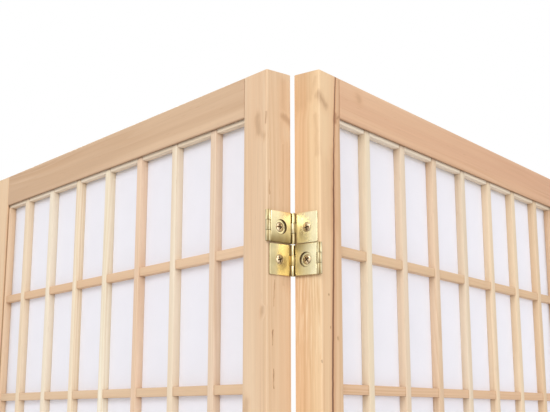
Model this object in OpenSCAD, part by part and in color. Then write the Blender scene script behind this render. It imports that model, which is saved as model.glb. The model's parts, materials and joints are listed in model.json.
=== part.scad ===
// Two-panel folding room divider: paper on a wooden lattice, joined by two-way hinges.
// Millimetres, +Z up, origin on the floor at the centre of the standing footprint.
// Each panel is drawn in its own frame: +X from the back hinge axis along the panel,
// +Y towards its back, with its front face at y = -(frame_t + axis_out).

/* [Panels] */
// Height of a panel
panel_h = 1700; // [1200:10:2000]
// Width of a panel
panel_w = 410; // [300:5:600]
// Thickness of the frame
frame_t = 20; // [17:1:30]
// Angle between the backs of the two panels at rest
rest_angle = 77; // [40:1:150]

/* [Frame] */
// Face width of a stile
stile_w = 24; // [20:1:50]
// Face height of a rail
rail_h = 28; // [22:1:60]
// Height of the open feet below the bottom rail
leg_h = 50; // [20:1:150]
// Radius of the eased edges
ease_r = 0.8; // [0.4:0.1:1.2]
// Thickness of the lip in front of the lattice
lip_t = 2; // [1.5:0.5:4]
// Width of the rebate behind the lip
rebate_w = 3; // [2:0.5:5]

/* [Lattice] */
// Face width of a lattice bar
bar_w = 6.4; // [4:0.2:10]
// Face width of the borders round the lattice
border_w = 5.4; // [4:0.2:10]
// Depth of a lattice upright
bar_d = 6; // [4:0.5:8]
// How far the crossbars and end borders lie behind the face of the uprights
bar_step = 0.6; // [0.2:0.1:1.2]
// Distance between two uprights
upright_pitch = 48; // [35:1:120]
// Least width of the cells at the sides
edge_cell = 25; // [15:1:60]
// Height of a lattice row, before the rows are evened out
row_pitch = 88; // [60:1:250]

/* [Paper and battens] */
// Thickness of the paper
paper_t = 0.4; // [0.2:0.1:0.8]
// Margin of the paper inside the rebate
paper_margin = 0.5; // [0.2:0.1:1]
// Width of a retaining batten
batten_w = 8; // [7:0.5:14]
// Depth of a retaining batten
batten_d = 5; // [3:0.5:7]
// Radius of a brad
brad_r = 0.6; // [0.4:0.1:0.8]
// Length of a brad
brad_l = 9; // [7:0.5:10]
// Greatest distance between two brads
brad_pitch = 300; // [100:10:500]
// Height of a brad's head
brad_head_h = 0.5; // [0.3:0.1:1]
// Gap between two battens at a corner
batten_gap = 0.3; // [0.1:0.1:1]

/* [Corner dowels] */
// Radius of a dowel
dowel_r = 2.5; // [2:0.25:3]
// Length of a dowel
dowel_l = 30; // [16:1:36]
// Distance between the two dowels of a corner
dowel_gap = 11; // [8:1:14]

/* [Hinges] */
// Distance from the top rail down to the top hinge
hinge_drop = 66; // [8:1:200]
// Distance from the bottom rail up to the bottom hinge
hinge_rise = 8; // [4:1:200]
// Height of one half of a hinge
half_h = 20; // [16:1:30]
// Gap between the two halves of a hinge
half_gap = 0.8; // [0.4:0.1:1.5]
// Thickness of a hinge plate
plate_t = 1; // [0.8:0.1:1.4]
// Gap between two stacked plates
plate_gap = 0.3; // [0.2:0.05:0.4]
// How far the hinge axes lie outside the faces of the panels
axis_out = 0.25; // [0.2:0.05:0.5]
// Radius of a hinge pin
pin_r = 0.8; // [0.6:0.05:1]
// Running clearance round a pin
pin_fit = 0.05; // [0.02:0.01:0.1]
// Clearance between a knuckle and what turns beside it
knuckle_gap = 0.3; // [0.2:0.05:0.4]
// Gap between two knuckles on one pin
split_gap = 0.2; // [0.1:0.05:0.4]
// Gap between a knuckle and the wood beside it
wood_gap = 0.05; // [0.03:0.01:0.2]
// Radius of the screw opening in a middle plate
window_r = 4.7; // [4:0.1:5.5]

/* [Hinge screws] */
// Radius of a screw head
head_r = 3; // [2.4:0.1:3.2]
// Height of the domed top of a screw head
dome_h = 0.55; // [0.3:0.05:0.6]
// Radius of a screw shank
shank_r = 1.25; // [1:0.05:1.5]
// Length of a screw below its leaf
shank_l = 14; // [10:1:18]
// Step from the shank to the foot of the countersink
sink_step = 0.35; // [0.2:0.05:0.6]
// Width of a slot of the cross recess
cross_w = 0.6; // [0.4:0.1:0.8]
// Length of a slot of the cross recess
cross_l = 3.2; // [2.4:0.1:4]

/* [Hidden] */
$fn = 48;
// Overcut that keeps a cut clear of the face that it opens
cut = 0.5;

// Places across a panel, in its own frame
end_x = (3 * plate_t + 2 * plate_gap) / 2;
front_y = -(frame_t + axis_out);
back_y = -axis_out;
front_axis_y = -(frame_t + 2 * axis_out);
rail_x = end_x + stile_w;
rail_l = panel_w - 2 * stile_w;
far_x = end_x + panel_w;

// The lattice lies in the rebate, behind the lip
lat_x = rail_x - rebate_w;
lat_w = rail_l + 2 * rebate_w;
lat_z = leg_h + rail_h - rebate_w;
lat_h = panel_h - rail_h + rebate_w - lat_z;
lat_y = front_y + lip_t;
lap_y = lat_y + bar_d / 2;
lat_back_y = lat_y + bar_d;
paper_back_y = lat_back_y + paper_t;
batten_back_y = paper_back_y + batten_d;
upright_n = 1 + 2 * floor((lat_w / 2 - border_w - bar_w / 2 - edge_cell) / upright_pitch);
rows_n = round((lat_h - border_w) / row_pitch);
row_step = (lat_h - border_w) / rows_n;
lat_mid_x = lat_x + lat_w / 2;
upright_x = [for (i = [0 : upright_n - 1]) lat_mid_x + (i - (upright_n - 1) / 2) * upright_pitch];
crossbar_z = [for (i = [1 : rows_n - 1]) lat_z + border_w / 2 + i * row_step];
end_border_z = [lat_z, lat_z + lat_h - border_w];

// Brads stand on the middle line of the lattice borders
brad_side_n = ceil((lat_h - border_w) / brad_pitch);
brad_end_n = ceil((lat_w - border_w) / brad_pitch);
brad_side_z = [for (i = [0 : brad_side_n - 1]) lat_z + lat_h * (i + 0.5) / brad_side_n];
brad_end_x = [for (i = [0 : brad_end_n - 1]) lat_x + lat_w * (i + 0.5) / brad_end_n];
brad_head_r = brad_r * 2;

// Dowels lie in the full-depth part of each rail
dowel_y = (front_y + back_y) / 2;
rail_core_h = rail_h - rebate_w;
dowel_z = [
  leg_h + (rail_core_h - dowel_gap) / 2, leg_h + (rail_core_h + dowel_gap) / 2,
  panel_h - (rail_core_h + dowel_gap) / 2, panel_h - (rail_core_h - dowel_gap) / 2
];

// Hinges
hinge_h = 2 * half_h + half_gap;
low_hinge_z = leg_h + rail_h + hinge_rise;
top_hinge_z = panel_h - rail_h - hinge_drop - hinge_h;
hinge_z = [low_hinge_z, (low_hinge_z + top_hinge_z) / 2, top_hinge_z];
upper_lift = half_h + half_gap;
knuckle_r = end_x - wood_gap;
knuckle_l = (half_h - 2 * split_gap) / 3;
tongue_z = knuckle_l + split_gap;
clear_y = knuckle_r + knuckle_gap;
plate_mid_y = front_axis_y / 2;
screw_z = half_h / 2;
sink_r = shank_r + sink_step;

// Standing place: the footprint, from the front knuckles to the eased outer corners,
// is centred on the origin
half_angle = (180 - rest_angle) / 2;
reach_front = front_axis_y * cos(half_angle) - knuckle_r;
reach_back = (far_x - ease_r) * sin(half_angle) + (back_y - ease_r) * cos(half_angle) + ease_r;
axis_y = -(reach_front + reach_back) / 2;

// Colours
wood = "burlywood";
wood_light = "wheat";
paper_white = "ivory";
brass = "gold";
steel = "silver";

// Puts a panel's own frame at its resting place
module on_right() {
  translate([0, axis_y, 0]) rotate([0, 0, half_angle]) children();
}

module on_left() {
  mirror([1, 0, 0]) on_right() children();
}

// Rectangle with its lowest corner at the origin and four round corners
module eased_rect(w, h) {
  translate([ease_r, 0]) square([w - 2 * ease_r, h]);
  translate([0, ease_r]) square([w, h - 2 * ease_r]);
  for (x = [ease_r, w - ease_r], y = [ease_r, h - ease_r])
    translate([x, y]) circle(r = ease_r, $fn = 24);
}

// Frame

// Dowel bodies of both ends of both rails, also used as their bores
module dowel_rods(x) {
  for (z = dowel_z)
    translate([x - dowel_l / 2, dowel_y, z]) rotate([0, 90, 0])
      cylinder(r = dowel_r, h = dowel_l);
}

// Rebate all round the opening, as deep as the frame behind the lip
module rebate_cut() {
  translate([lat_x, lat_y, lat_z]) cube([lat_w, frame_t, lat_h]);
}

// Upright that stands from x to x + stile_w, with its dowel bores round dowel_x
module stile(x, dowel_x) {
  difference() {
    translate([x, front_y, 0]) linear_extrude(panel_h) eased_rect(stile_w, frame_t);
    rebate_cut();
    dowel_rods(dowel_x);
  }
}

module hinge_stile() {
  color(wood) difference() {
    stile(end_x, rail_x);
    shank_bores();
  }
}

module outer_stile() {
  color(wood) stile(far_x - stile_w, far_x - stile_w);
}

module rail(z) {
  color(wood) difference() {
    translate([rail_x, front_y, z]) rotate([90, 0, 90]) linear_extrude(rail_l)
      eased_rect(frame_t, rail_h);
    rebate_cut();
    dowel_rods(rail_x);
    dowel_rods(far_x - stile_w);
  }
}

module corner_dowels() {
  color(wood_light) {
    dowel_rods(rail_x);
    dowel_rods(far_x - stile_w);
  }
}

// Lattice

// Brad shafts and heads, also used as their bores
module brad(x, z) {
  translate([x, batten_back_y, z]) rotate([90, 0, 0]) {
    cylinder(r = brad_r, h = brad_l, $fn = 24);
    cylinder(r = brad_head_r, h = brad_head_h, $fn = 24);
  }
}

module side_brads() {
  for (z = brad_side_z, x = [lat_x + border_w / 2, lat_x + lat_w - border_w / 2]) brad(x, z);
}

module end_brads() {
  for (x = brad_end_x, z = end_border_z) brad(x, z + border_w / 2);
}

module batten_brads() {
  color(steel) {
    side_brads();
    end_brads();
  }
}

// Front half of every upright's path, where it laps over what crosses it
module upright_laps() {
  for (x = upright_x)
    translate([x - bar_w / 2, lap_y - bar_d, lat_z - bar_w]) cube([bar_w, bar_d, lat_h + 2 * bar_w]);
}

module lattice_end_border(z) {
  color(wood_light) difference() {
    translate([lat_x, lat_y + bar_step, z]) cube([lat_w, bar_d - bar_step, border_w]);
    upright_laps();
    end_brads();
  }
}

module lattice_top_border() {
  lattice_end_border(end_border_z[1]);
}

module lattice_bottom_border() {
  lattice_end_border(end_border_z[0]);
}

module lattice_side_border(x) {
  color(wood_light) difference() {
    translate([x, lat_y, lat_z + border_w]) cube([border_w, bar_d, lat_h - 2 * border_w]);
    side_brads();
  }
}

module lattice_hinge_border() {
  lattice_side_border(lat_x);
}

module lattice_outer_border() {
  lattice_side_border(lat_x + lat_w - border_w);
}

// Uprights run from rail to rail, notched from the back where a crossbar or an end border passes
module lattice_uprights() {
  color(wood_light) difference() {
    for (x = upright_x)
      translate([x - bar_w / 2, lat_y, lat_z]) cube([bar_w, bar_d, lat_h]);
    for (z = crossbar_z)
      translate([lat_x, lap_y, z - bar_w / 2]) cube([lat_w, bar_d, bar_w]);
    for (z = [lat_z - bar_w, end_border_z[1]])
      translate([lat_x, lap_y, z]) cube([lat_w, bar_d, border_w + bar_w]);
    end_brads();
  }
}

// Crossbars are notched from the front where an upright passes
module lattice_crossbars() {
  color(wood_light) difference() {
    for (z = crossbar_z)
      translate([lat_x + border_w, lat_y + bar_step, z - bar_w / 2])
        cube([lat_w - 2 * border_w, bar_d - bar_step, bar_w]);
    upright_laps();
  }
}

module paper() {
  color(paper_white) difference() {
    translate([lat_x + paper_margin, lat_back_y, lat_z + paper_margin])
      cube([lat_w - 2 * paper_margin, paper_t, lat_h - 2 * paper_margin]);
    side_brads();
    end_brads();
  }
}

module end_batten(z) {
  color(wood) difference() {
    translate([lat_x, paper_back_y, z]) cube([lat_w, batten_d, batten_w]);
    end_brads();
  }
}

module top_batten() {
  end_batten(lat_z + lat_h - batten_w);
}

module bottom_batten() {
  end_batten(lat_z);
}

module side_batten(x) {
  color(wood) difference() {
    translate([x, paper_back_y, lat_z + batten_w + batten_gap])
      cube([batten_w, batten_d, lat_h - 2 * (batten_w + batten_gap)]);
    side_brads();
  }
}

module hinge_side_batten() {
  side_batten(lat_x);
}

module outer_side_batten() {
  side_batten(lat_x + lat_w - batten_w);
}

// Hinges
// Each half has a leaf on the front axis, a middle plate that links both axes and a leaf
// on the back axis. The middle plate of the upper half lies against the left panel, that of
// the lower half against the right panel, so the panels fold either way.

// Knuckle barrel of the leaf, between the two barrels of the middle plate
module tongue_barrel(y) {
  translate([0, y, tongue_z]) cylinder(r = knuckle_r, h = knuckle_l);
}

// Leaf on the axis at y = knuckle_y, reaching back towards far_edge
module leaf(knuckle_y, toward) {
  slot_y = knuckle_y + toward * clear_y;
  edge_y = knuckle_y + toward * (frame_t + 2 * axis_out - clear_y);
  color(brass) difference() {
    union() {
      tongue_barrel(knuckle_y);
      translate([end_x - plate_t, min(slot_y, edge_y), 0])
        cube([plate_t, abs(edge_y - slot_y), half_h]);
      translate([end_x - plate_t, min(knuckle_y, knuckle_y + toward * (clear_y + cut)), tongue_z])
        cube([plate_t, clear_y + cut, knuckle_l]);
    }
    translate([0, knuckle_y, -cut]) cylinder(r = pin_r + pin_fit, h = half_h + 2 * cut);
    leaf_screw(false);
  }
}

module front_leaf() {
  leaf(front_axis_y, 1);
}

module back_leaf() {
  leaf(0, -1);
}

// Middle plate with two barrels on each axis and a round window over the hidden screw
module middle_plate() {
  color(brass) difference() {
    union() {
      translate([-plate_t / 2, front_axis_y, 0]) cube([plate_t, -front_axis_y, half_h]);
      for (y = [front_axis_y, 0], z = [0, half_h - knuckle_l])
        translate([0, y, z]) cylinder(r = knuckle_r, h = knuckle_l);
    }
    for (y = [front_axis_y, 0]) {
      translate([-clear_y, y - clear_y, knuckle_l])
        cube([2 * clear_y, 2 * clear_y, half_h - 2 * knuckle_l]);
      translate([0, y, -cut]) cylinder(r = pin_r, h = half_h + 2 * cut);
    }
    translate([-plate_t, plate_mid_y, screw_z]) rotate([0, 90, 0])
      cylinder(r = window_r, h = 2 * plate_t);
  }
}

// Pin as long as one half
module hinge_pin(y) {
  color(brass) translate([0, y, 0]) cylinder(r = pin_r, h = half_h);
}

// Raised countersunk screw through a leaf, also used as its bore
module leaf_screw(with_dome) {
  translate([end_x - plate_t, plate_mid_y, screw_z]) rotate([0, 90, 0]) {
    if (with_dome) domed_head();
    else cylinder(r1 = head_r, r2 = sink_r, h = plate_t);
    cylinder(r = shank_r, h = plate_t + shank_l);
  }
}

// The countersink's cone runs on upwards and a sphere rounds it off dome_h above the rim
module domed_head() {
  dome_r = (head_r * head_r + dome_h * dome_h) / (2 * dome_h);
  flare = (head_r - sink_r) / plate_t;
  intersection() {
    translate([0, 0, dome_r - dome_h]) sphere(r = dome_r, $fn = 96);
    translate([0, 0, -2 * dome_h])
      cylinder(r1 = head_r + 2 * dome_h * flare, r2 = sink_r, h = 2 * dome_h + plate_t);
  }
}

module cross_recess() {
  translate([end_x - plate_t - dome_h, plate_mid_y, screw_z])
    for (a = [0, 90]) rotate([a, 0, 0])
      cube([2 * dome_h, cross_l, cross_w], center = true);
}

module domed_screw() {
  color(steel) difference() {
    leaf_screw(true);
    cross_recess();
  }
}

// Shanks of the two screws of every hinge, as bores in a hinge stile
module shank_bores() {
  for (z = hinge_z, lift = [0, upper_lift])
    translate([end_x - cut, plate_mid_y, z + lift + screw_z]) rotate([0, 90, 0])
      cylinder(r = shank_r, h = shank_l + cut);
}

module panel_screws() {
  for (z = hinge_z, lift = [0, upper_lift]) translate([0, 0, z + lift]) domed_screw();
}

module pins(y, lift) {
  for (z = hinge_z) translate([0, 0, z + lift]) hinge_pin(y);
}

// Upper half: front leaf and middle plate on the left panel, back leaf on the right one
module left_upper_leaf(i) { on_left() translate([0, 0, hinge_z[i] + upper_lift]) front_leaf(); }
module upper_middle_plate(i) { on_left() translate([0, 0, hinge_z[i] + upper_lift]) middle_plate(); }
module right_upper_leaf(i) { on_right() translate([0, 0, hinge_z[i] + upper_lift]) back_leaf(); }
// Lower half: front leaf and middle plate on the right panel, back leaf on the left one
module left_lower_leaf(i) { on_left() translate([0, 0, hinge_z[i]]) back_leaf(); }
module lower_middle_plate(i) { on_right() translate([0, 0, hinge_z[i]]) middle_plate(); }
module right_lower_leaf(i) { on_right() translate([0, 0, hinge_z[i]]) front_leaf(); }

// Left panel
on_left() hinge_stile();  // left_hinge_stile
on_left() outer_stile();  // left_outer_stile
on_left() rail(panel_h - rail_h);  // left_top_rail
on_left() rail(leg_h);  // left_bottom_rail
on_left() lattice_top_border();  // left_lattice_top_border
on_left() lattice_bottom_border();  // left_lattice_bottom_border
on_left() lattice_hinge_border();  // left_lattice_hinge_border
on_left() lattice_outer_border();  // left_lattice_outer_border
on_left() lattice_uprights();  // left_lattice_uprights
on_left() lattice_crossbars();  // left_lattice_crossbars
on_left() paper();  // left_paper
on_left() top_batten();  // left_top_batten
on_left() bottom_batten();  // left_bottom_batten
on_left() hinge_side_batten();  // left_hinge_side_batten
on_left() outer_side_batten();  // left_outer_side_batten
on_left() batten_brads();  // left_batten_brads
on_left() corner_dowels();  // left_corner_dowels

// Right panel
on_right() hinge_stile();  // right_hinge_stile
on_right() outer_stile();  // right_outer_stile
on_right() rail(panel_h - rail_h);  // right_top_rail
on_right() rail(leg_h);  // right_bottom_rail
on_right() lattice_top_border();  // right_lattice_top_border
on_right() lattice_bottom_border();  // right_lattice_bottom_border
on_right() lattice_hinge_border();  // right_lattice_hinge_border
on_right() lattice_outer_border();  // right_lattice_outer_border
on_right() lattice_uprights();  // right_lattice_uprights
on_right() lattice_crossbars();  // right_lattice_crossbars
on_right() paper();  // right_paper
on_right() top_batten();  // right_top_batten
on_right() bottom_batten();  // right_bottom_batten
on_right() hinge_side_batten();  // right_hinge_side_batten
on_right() outer_side_batten();  // right_outer_side_batten
on_right() batten_brads();  // right_batten_brads
on_right() corner_dowels();  // right_corner_dowels

// Top hinge
left_upper_leaf(2);  // top_hinge_left_upper_leaf
left_lower_leaf(2);  // top_hinge_left_lower_leaf
upper_middle_plate(2);  // top_hinge_upper_middle_plate
lower_middle_plate(2);  // top_hinge_lower_middle_plate
right_upper_leaf(2);  // top_hinge_right_upper_leaf
right_lower_leaf(2);  // top_hinge_right_lower_leaf

// Middle hinge
left_upper_leaf(1);  // middle_hinge_left_upper_leaf
left_lower_leaf(1);  // middle_hinge_left_lower_leaf
upper_middle_plate(1);  // middle_hinge_upper_middle_plate
lower_middle_plate(1);  // middle_hinge_lower_middle_plate
right_upper_leaf(1);  // middle_hinge_right_upper_leaf
right_lower_leaf(1);  // middle_hinge_right_lower_leaf

// Bottom hinge
left_upper_leaf(0);  // bottom_hinge_left_upper_leaf
left_lower_leaf(0);  // bottom_hinge_left_lower_leaf
upper_middle_plate(0);  // bottom_hinge_upper_middle_plate
lower_middle_plate(0);  // bottom_hinge_lower_middle_plate
right_upper_leaf(0);  // bottom_hinge_right_upper_leaf
right_lower_leaf(0);  // bottom_hinge_right_lower_leaf

// Pins and screws
on_left() pins(front_axis_y, upper_lift);  // left_front_hinge_pins
on_left() pins(0, upper_lift);  // upper_back_hinge_pins
on_right() pins(0, 0);  // lower_back_hinge_pins
on_right() pins(front_axis_y, 0);  // right_front_hinge_pins
on_left() panel_screws();  // left_hinge_screws
on_right() panel_screws();  // right_hinge_screws
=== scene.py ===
"""Looks of a folding room divider: two lattice panels with white paper in a light softwood frame,
joined by two-way brass hinges. Lengths are metres, in the part's own frame."""

import json
import math

import bpy
import numpy as np
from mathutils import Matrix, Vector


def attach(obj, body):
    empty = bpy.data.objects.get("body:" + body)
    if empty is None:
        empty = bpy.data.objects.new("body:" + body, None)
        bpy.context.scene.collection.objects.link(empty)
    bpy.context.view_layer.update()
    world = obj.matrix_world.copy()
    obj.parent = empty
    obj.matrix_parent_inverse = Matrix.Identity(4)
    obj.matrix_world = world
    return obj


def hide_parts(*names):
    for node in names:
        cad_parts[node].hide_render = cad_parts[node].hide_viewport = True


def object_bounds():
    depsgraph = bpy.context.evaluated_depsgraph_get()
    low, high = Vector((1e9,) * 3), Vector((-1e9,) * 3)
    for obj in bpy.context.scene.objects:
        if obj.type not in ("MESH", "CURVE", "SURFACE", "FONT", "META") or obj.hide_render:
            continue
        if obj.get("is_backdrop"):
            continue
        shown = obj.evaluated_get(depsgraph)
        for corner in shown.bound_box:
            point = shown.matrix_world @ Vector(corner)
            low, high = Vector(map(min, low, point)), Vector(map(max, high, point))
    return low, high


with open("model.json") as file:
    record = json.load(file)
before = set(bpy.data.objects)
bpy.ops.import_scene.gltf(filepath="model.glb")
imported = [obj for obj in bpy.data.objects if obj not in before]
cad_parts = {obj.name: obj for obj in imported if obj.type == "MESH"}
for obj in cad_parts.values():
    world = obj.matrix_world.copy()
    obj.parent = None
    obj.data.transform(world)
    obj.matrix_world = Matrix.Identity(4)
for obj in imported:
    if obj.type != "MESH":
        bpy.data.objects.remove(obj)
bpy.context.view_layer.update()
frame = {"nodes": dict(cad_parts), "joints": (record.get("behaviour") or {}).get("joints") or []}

MM = 0.001
TURN = 2 * math.pi

# A panel's own frame: x runs from the back hinge axis along the panel, y to its back, z up
HALF_ANGLE = math.radians(51.5)
AXIS_Y = next(j for j in frame["joints"] if j["name"] == "fold_back")["pos_m"][1]
PANEL_H, PANEL_W = 1.700, 0.410
STILE_W, RAIL_H, LEG_H = 0.024, 0.028, 0.050
END_X, FRONT_Y, BACK_Y = 0.0018, -0.02025, -0.00025
RAIL_X, FAR_X = END_X + STILE_W, END_X + PANEL_W
REBATE, LIP = 0.003, 0.002
LAT_X, LAT_W = RAIL_X - REBATE, PANEL_W - 2 * STILE_W + 2 * REBATE
LAT_Z = LEG_H + RAIL_H - REBATE
LAT_H = PANEL_H - RAIL_H + REBATE - LAT_Z
LAT_Y = FRONT_Y + LIP
BAR_W, BORDER_W, BAR_D, BAR_STEP = 0.0064, 0.0054, 0.006, 0.0006
LAT_BACK_Y = LAT_Y + BAR_D
PAPER_T, PAPER_MARGIN = 0.0004, 0.0005
BATTEN_W, BATTEN_D, BATTEN_GAP = 0.008, 0.005, 0.0003
UPRIGHT_STEP, ROWS = 0.048, 18
UPRIGHTS = LAT_X + LAT_W / 2 + UPRIGHT_STEP * (np.arange(7) - 3)
ROW_STEP = (LAT_H - BORDER_W) / ROWS
CROSSBARS = LAT_Z + BORDER_W / 2 + ROW_STEP * np.arange(1, ROWS)
END_BORDERS = (LAT_Z, LAT_Z + LAT_H - BORDER_W)
# Radii of edges: boards and battens, the back of the hinge stiles, bars, the back of the lip and
# the corner in the rebate; then how far from an edge its own tone ends
BOARD_EASE, SHARP_EDGE, BAR_EASE, LIP_R, NOOK_R = 0.0008, 0.0003, 0.0004, 0.0006, 0.0002
EDGE_TONE = 0.003

# A hinge half: 20 mm high, its two pins 20.5 mm apart
HALF_H, UPPER_LIFT = 0.020, 0.0208
HINGES = {"bottom": 0.086, "middle": 0.8256, "top": 1.5652}
FRONT_AXIS_Y = -0.0205
PLATE_T, PIN_R, BORE_R, KNUCKLE_R = 0.001, 0.0008, 0.00085, 0.00175
ROLL_R, ROLL_T = (BORE_R + KNUCKLE_R) / 2, KNUCKLE_R - BORE_R
KNUCKLE_H, SPLIT, CLEAR_Y, STRAP_LAP = 0.0196 / 3, 0.0002, 0.00205, 0.0001
PLATE_CORNER_R, PLATE_EASE, PLATE_CELL, HOLE_LIP = 0.0007, 0.00014, 0.0012, 0.0001
CURL_EASE = 0.00012
WINDOW_R, HEAD_R, DOME_H, SHANK_R, SHANK_L = 0.0047, 0.0030, 0.00055, 0.00125, 0.014
# How much wider the countersink's foot is than the shank, then the cross recess: half the width
# and half the length of a bar, and the run of its walls
CONE_FOOT, CROSS_W, CROSS_L, CROSS_WALL = 0.00035, 0.00042, 0.00180, 0.00022


# Shapes


def place(points, side):
    """A panel's own points in the row frame: turned by the half angle about the back hinge axis,
    then mirrored in x for the left panel."""
    points = np.asarray(points, float)
    c, s = math.cos(HALF_ANGLE), math.sin(HALF_ANGLE)
    x = points[:, 0] * c - points[:, 1] * s
    y = points[:, 0] * s + points[:, 1] * c + AXIS_Y
    return np.stack([-x if side == "left" else x, y, points[:, 2]], 1)


def on_circle(centre, radius, t):
    """The points of a circle at the angles t."""
    return np.stack([centre[0] + radius * np.cos(t), centre[1] + radius * np.sin(t)], 1)


def eased(x0, x1, y0, y1, r, steps=3):
    """An anticlockwise rectangle with four quarter circles of radius r for its corners."""
    quarter = np.linspace(0, math.pi / 2, steps)
    centres = ((x1 - r, y0 + r), (x1 - r, y1 - r), (x0 + r, y1 - r), (x0 + r, y0 + r))
    return np.concatenate([
        on_circle(centre, r, (k - 1) * math.pi / 2 + quarter) for k, centre in enumerate(centres)])


def inset(section, by):
    """A closed section drawn in by that distance towards its middle."""
    low, high = section.min(0), section.max(0)
    mid, half = (low + high) / 2, (high - low) / 2
    return mid + (section - mid) * (half - by) / half


def drawn_ends(low, high, ease):
    """Places along a piece, with how far its section is drawn in there to ease both ends."""
    soft = ease * 0.3
    return ((low, ease), (low + soft, soft), (low + ease, 0),
            (high - ease, 0), (high - soft, soft), (high, ease))


def rings_solid(rings):
    """A closed solid through rings of equally many points: each ring is joined to the next by a
    band of quads, and the first and last ring are closed by a flat face. Rings run anticlockwise
    as seen from the last one."""
    rings = np.asarray(rings, float)
    n, k = rings.shape[:2]
    i, j = np.meshgrid(np.arange(n - 1), np.arange(k), indexing="ij")
    a, b = (i * k + j).ravel(), (i * k + (j + 1) % k).ravel()
    bands = np.stack([a, b, b + k, a + k], 1).tolist()
    ends = [list(range(k))[::-1], [(n - 1) * k + m for m in range(k)]]
    return rings.reshape(-1, 3), bands + ends


def closed_loops(loops):
    """A closed ring-shaped surface: every loop is a closed cross-section, and the last loop joins
    the first one again."""
    loops = np.asarray(loops, float)
    n, k = loops.shape[:2]
    i, j = np.meshgrid(np.arange(n), np.arange(k), indexing="ij")
    a, b = (i * k + j).ravel(), (i * k + (j + 1) % k).ravel()
    c, d = ((i + 1) % n * k + (j + 1) % k).ravel(), ((i + 1) % n * k + j).ravel()
    return loops.reshape(-1, 3), np.stack([a, b, c, d], 1).tolist()


def together(shapes):
    """Several (points, faces) shapes as one."""
    points, faces, start = [], [], 0
    for p, f in shapes:
        points.append(p)
        faces += [[v + start for v in face] for face in f]
        start += len(p)
    return np.concatenate(points), faces


def oriented(shape):
    """The shape with its faces turned if its signed volume, the sum over its faces' fans of corner
    triple products, is negative."""
    points, faces = shape
    total = 0.0
    for size in sorted({len(f) for f in faces}):
        same = np.array([f for f in faces if len(f) == size])
        p = points[same]
        for k in range(1, size - 1):
            total += np.einsum("ij,ij->i", p[:, 0], np.cross(p[:, k], p[:, k + 1])).sum()
    return (points, faces) if total > 0 else (points, [f[::-1] for f in faces])


def make(name, shape, side, body, slot, material, replaces, smooth=35, **attributes):
    """The shape as an object at the origin, riding on a body, in the place of the nodes that it
    replaces. Left pieces have their faces turned, because they are mirrored. Edges sharper than
    the angle smooth stay sharp. Attributes are one number or three for every point."""
    points, faces = shape
    if side == "left":
        faces = [f[::-1] for f in faces]
    mesh = bpy.data.meshes.new(name)
    mesh.from_pydata(place(points, side).tolist(), [], faces)
    for key, values in attributes.items():
        values = np.asarray(values, np.float32)
        kind = "FLOAT_VECTOR" if values.ndim == 2 else "FLOAT"
        field = mesh.attributes.new(key, kind, "POINT")
        field.data.foreach_set("vector" if values.ndim == 2 else "value", values.ravel())
    mesh.validate()
    piece = bpy.data.objects.new(name, mesh)
    bpy.context.scene.collection.objects.link(piece)
    mesh.materials.append(material)
    mesh.shade_smooth()
    mesh.set_sharp_from_angle(angle=math.radians(smooth))
    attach(piece, body)
    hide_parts(*replaces)
    return piece


# Materials


def rgb(r, g, b):
    """A colour written as it shows on a screen, 0 to 255, as linear light."""
    c = np.array([r, g, b]) / 255
    return (*np.where(c <= 0.04045, c / 12.92, ((c + 0.055) / 1.055) ** 2.4), 1.0)


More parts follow.
